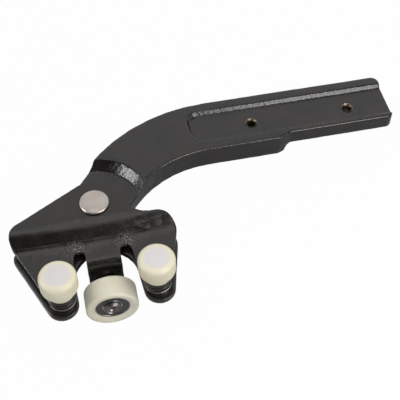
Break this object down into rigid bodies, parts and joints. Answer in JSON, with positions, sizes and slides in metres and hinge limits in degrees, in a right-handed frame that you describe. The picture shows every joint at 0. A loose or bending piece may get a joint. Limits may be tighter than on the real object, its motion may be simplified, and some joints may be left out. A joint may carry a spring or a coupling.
{
  "type": "sliding door roller",
  "caption": "Black door arm with a recessed mounting face and a swivelling plate carriage that holds upright nylon guide rollers and a vertical load roller on a ball bearing.",
  "frame": {"origin": "on the arm's recessed mounting face, halfway between the two threaded holes", "axes": "+Z out of the mounting face, +X along the arm towards its free end, -Y towards the rollers"},
  "size_m": [0.2501, 0.1309, 0.0539],
  "materials": {
    "black_coat": "satin black dip coat over steel",
    "zinc": "pale plated steel",
    "bearing_steel": "ground bearing steel",
    "shield": "dark grey bearing shield",
    "nylon": "cream moulded nylon",
    "bronze": "plain bronze"
  },
  "bodies": {
    "arm": {"arm": "black_coat", "pivot_bush_upper": "bronze", "pivot_bush_lower": "bronze"},
    "carriage": {"upper_plate": "black_coat", "lower_plate": "black_coat", "pivot_pin": "zinc", "pivot_washer": "zinc", "guide_stud_left": "zinc", "guide_stud_right": "zinc", "guide_washer_left": "black_coat", "guide_washer_right": "black_coat", "plate_spacer_left": "zinc", "plate_spacer_right": "zinc", "load_axle": "zinc", "axle_washer": "zinc", "axle_spacer": "zinc", "bearing_inner_ring": "bearing_steel"},
    "guide_left": {"guide_roller_left": "nylon"},
    "guide_right": {"guide_roller_right": "nylon"},
    "load_wheel": {"load_roller_tyre": "nylon", "bearing_outer_ring": "bearing_steel", "bearing_shield_front": "shield", "bearing_shield_back": "shield"},
    "ball_set": {"bearing_ball_1": "bearing_steel", "bearing_ball_2": "bearing_steel", "bearing_ball_3": "bearing_steel", "bearing_ball_4": "bearing_steel", "bearing_ball_5": "bearing_steel", "bearing_ball_6": "bearing_steel", "bearing_ball_7": "bearing_steel", "bearing_cage": "bronze"}
  },
  "joints": [
    {"name": "carriage_swivel", "type": "hinge", "parent": "arm", "child": "carriage", "pos_m": [-0.139, -0.0444, -0.008], "axis": [0, 0, 1], "range_deg": [-60, 25]},
    {"name": "guide_left_spin", "type": "hinge", "parent": "carriage", "child": "guide_left", "pos_m": [-0.1654, -0.0976, 0], "axis": [0, 0, 1], "continuous": true},
    {"name": "guide_right_spin", "type": "hinge", "parent": "carriage", "child": "guide_right", "pos_m": [-0.1108, -0.0976, 0], "axis": [0, 0, 1], "continuous": true},
    {"name": "load_roller_spin", "type": "hinge", "parent": "carriage", "child": "load_wheel", "pos_m": [-0.1386, -0.0971, -0.0255], "axis": [0, 1, 0], "continuous": true},
    {"name": "ball_set_spin", "type": "hinge", "parent": "carriage", "child": "ball_set", "pos_m": [-0.1386, -0.0971, -0.0255], "axis": [0, 1, 0], "continuous": true}
  ],
  "couplings": [
    {"joint": "ball_set_spin", "follows": "load_roller_spin", "ratio": 0.6311}
  ]
}
